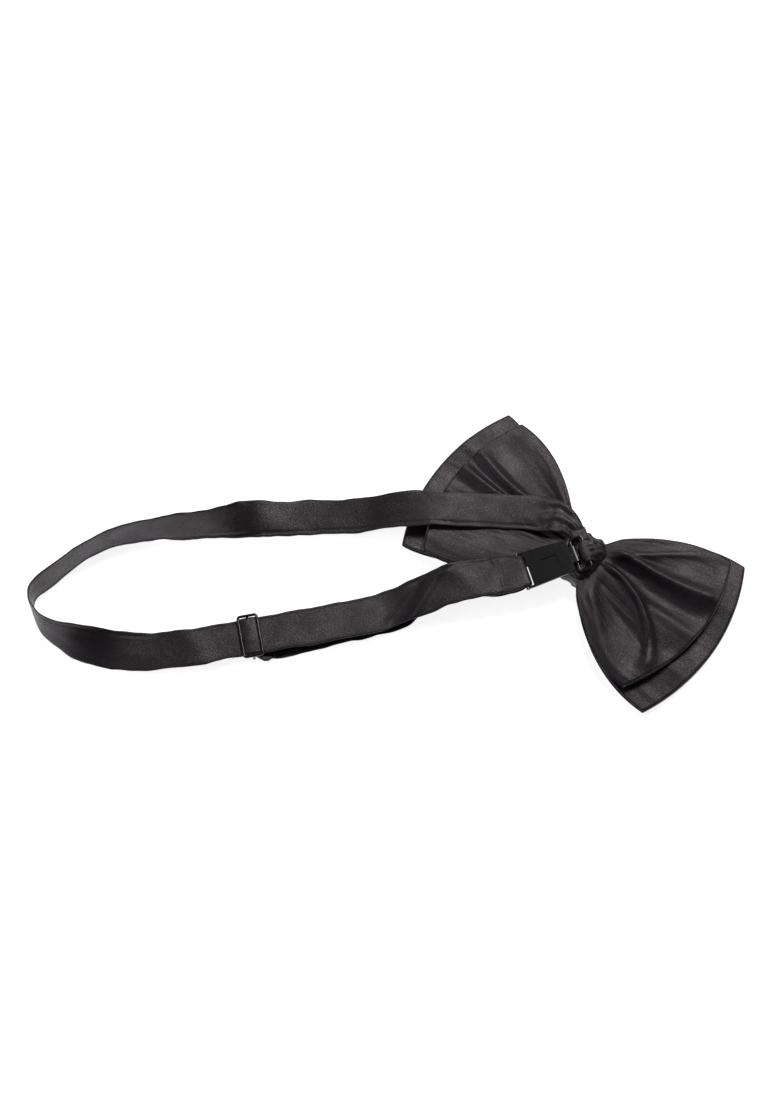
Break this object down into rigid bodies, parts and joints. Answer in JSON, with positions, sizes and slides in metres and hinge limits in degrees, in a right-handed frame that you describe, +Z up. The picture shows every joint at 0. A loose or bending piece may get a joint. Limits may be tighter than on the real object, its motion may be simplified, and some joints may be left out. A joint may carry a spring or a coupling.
{
  "type": "bow tie",
  "caption": "Ready-tied double satin bow with a gathered knot, an adjustable neck band, a wire slider and a hook that engages a wire ring behind the knot.",
  "frame": {"origin": "centre of the knot's front face, on the table that the tie lies on", "axes": "+Z up, out of the back of the knot; +X along the neck band from its far bend to the bow; +Y from the near run of the band to the far run"},
  "size_m": [0.2767, 0.1257, 0.0154],
  "materials": {
    "bow_satin": "black polyester satin, soft broad sheen",
    "band_satin": "black polyester satin strap",
    "interfacing": "black non-woven interfacing",
    "thread": "black sewing thread",
    "black_enamel": "black enamelled steel wire and sheet"
  },
  "bodies": {
    "bow": {"large_bow": "bow_satin", "small_bow": "bow_satin", "large_bow_interfacing": "interfacing", "small_bow_interfacing": "interfacing", "waist_thread": "thread", "knot_interfacing": "interfacing", "knot_wrap": "bow_satin", "knot_stitches": "thread", "ring_tab": "bow_satin", "ring_tab_stitches": "thread", "band_sewn_end": "band_satin", "band_end_stitches": "thread"},
    "ring": {"eye_ring": "black_enamel"},
    "band_far": {"neck_band_far": "band_satin"},
    "band_near": {"neck_band_near": "band_satin", "neck_band_return": "band_satin", "hook_loop": "band_satin"},
    "hook": {"hook": "black_enamel"},
    "slider": {"slider": "black_enamel", "slider_loop": "band_satin", "slider_loop_stitches": "thread"}
  },
  "joints": [
    {"name": "neck_fold", "type": "hinge", "parent": "bow", "child": "band_far", "pos_m": [-0.00025, 0.00139, 0.01287], "axis": [-0.2924, 0.9563, 0], "range_deg": [0, 90]},
    {"name": "ring_tilt", "type": "hinge", "parent": "bow", "child": "ring", "pos_m": [-0.00025, 0.00139, 0.01287], "axis": [-0.2924, 0.9563, 0], "range_deg": [0, 90]},
    {"name": "neck_open", "type": "hinge", "parent": "band_far", "child": "band_near", "pos_m": [-0.214, -0.017, 0.0076], "axis": [0, -1, 0], "range_deg": [0, 60]},
    {"name": "hook_tilt", "type": "hinge", "parent": "band_near", "child": "hook", "pos_m": [-0.02514, -0.00622, 0.01047], "axis": [0.2924, -0.9563, 0], "range_deg": [0, 90]},
    {"name": "slider_slide", "type": "slide", "parent": "band_near", "child": "slider", "axis": [0.9816, 0.1908, 0], "range_m": [-0.008, 0.038]}
  ],
  "couplings": [
    {"joint": "ring_tilt", "follows": "neck_fold", "ratio": 1}
  ]
}
